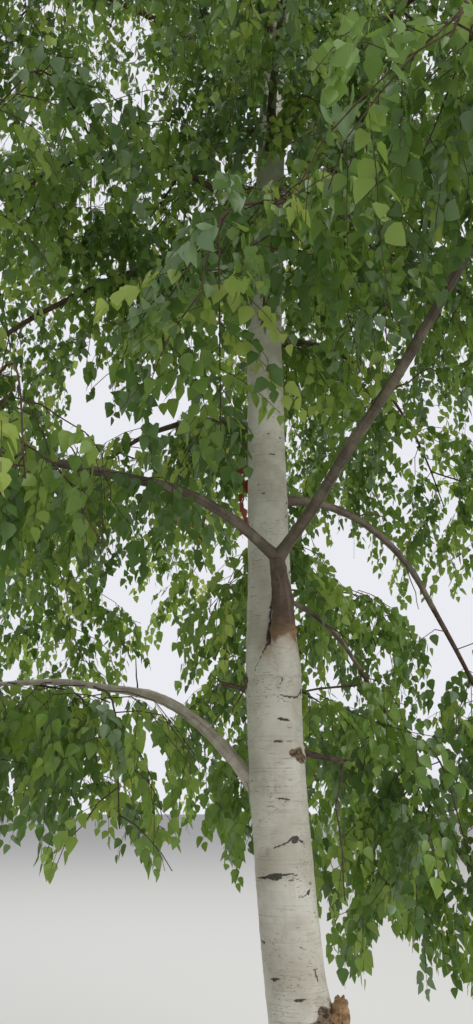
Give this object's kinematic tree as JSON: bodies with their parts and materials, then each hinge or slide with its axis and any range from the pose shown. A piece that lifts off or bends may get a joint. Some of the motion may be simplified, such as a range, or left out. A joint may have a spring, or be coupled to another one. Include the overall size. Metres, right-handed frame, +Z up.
{
  "type": "birch tree",
  "caption": "Silver birch with a leaning white trunk, a steep forked limb low on its front, drooping boughs and weeping masses of leafy twigs.",
  "frame": {"origin": "centre of the flat cut under the trunk, at ground level", "axes": "+Z up along the trunk, -Y to the front, where the forked limb is, and +X to the right"},
  "size_m": [4.9585, 4.8992, 11.0622],
  "materials": {
    "bark_white": "white papery birch bark with dark cross scars",
    "bark_pale": "smooth pale pinkish bark",
    "bark_bough": "dull grey-brown bark",
    "dead_wood": "dark rough dead wood",
    "foliage": "small soft green leaves on thin twigs"
  },
  "bodies": {
    "root": {"trunk": "bark_white", "fork_limb": "bark_bough", "bough_front_left": "bark_bough", "bough_front_right": "bark_bough", "bough_right_droop": "bark_bough", "bough_left_low": "bark_pale", "bough_right_thin": "bark_bough", "bough_upper_left": "bark_bough", "bough_upper_right": "bark_bough", "bough_back_low": "bark_bough", "bough_back_left": "bark_bough", "bough_back_right": "bark_bough", "bough_ring_1": "bark_bough", "bough_ring_2": "bark_bough", "bough_ring_3": "bark_bough", "bough_ring_4": "bark_bough", "bough_ring_5": "bark_bough", "bough_ring_6": "bark_bough", "bough_spiral_1": "bark_bough", "bough_spiral_2": "bark_bough", "bough_spiral_3": "bark_bough", "bough_spiral_4": "bark_bough", "bough_spiral_5": "bark_bough", "bough_spiral_6": "bark_bough", "bough_spiral_7": "bark_bough", "bough_spiral_8": "bark_bough", "bough_spiral_9": "bark_bough", "bough_spiral_10": "bark_bough", "stub_left": "dead_wood", "stub_right": "dead_wood", "foliage_front_left": "foliage", "foliage_front_right": "foliage", "foliage_right_droop": "foliage", "foliage_left_low": "foliage", "foliage_right_thin": "foliage", "foliage_upper_left": "foliage", "foliage_upper_right": "foliage", "foliage_back_low": "foliage", "foliage_back_left": "foliage", "foliage_back_right": "foliage", "foliage_ring_1": "foliage", "foliage_ring_2": "foliage", "foliage_ring_3": "foliage", "foliage_ring_4": "foliage", "foliage_ring_5": "foliage", "foliage_ring_6": "foliage", "foliage_spiral_1": "foliage", "foliage_spiral_2": "foliage", "foliage_spiral_3": "foliage", "foliage_spiral_4": "foliage", "foliage_spiral_5": "foliage", "foliage_spiral_6": "foliage", "foliage_spiral_7": "foliage", "foliage_spiral_8": "foliage", "foliage_spiral_9": "foliage", "foliage_spiral_10": "foliage", "foliage_leader": "foliage", "foliage_hanging_front": "foliage", "foliage_hanging_left": "foliage", "foliage_hanging_right": "foliage"}
  },
  "joints": []
}
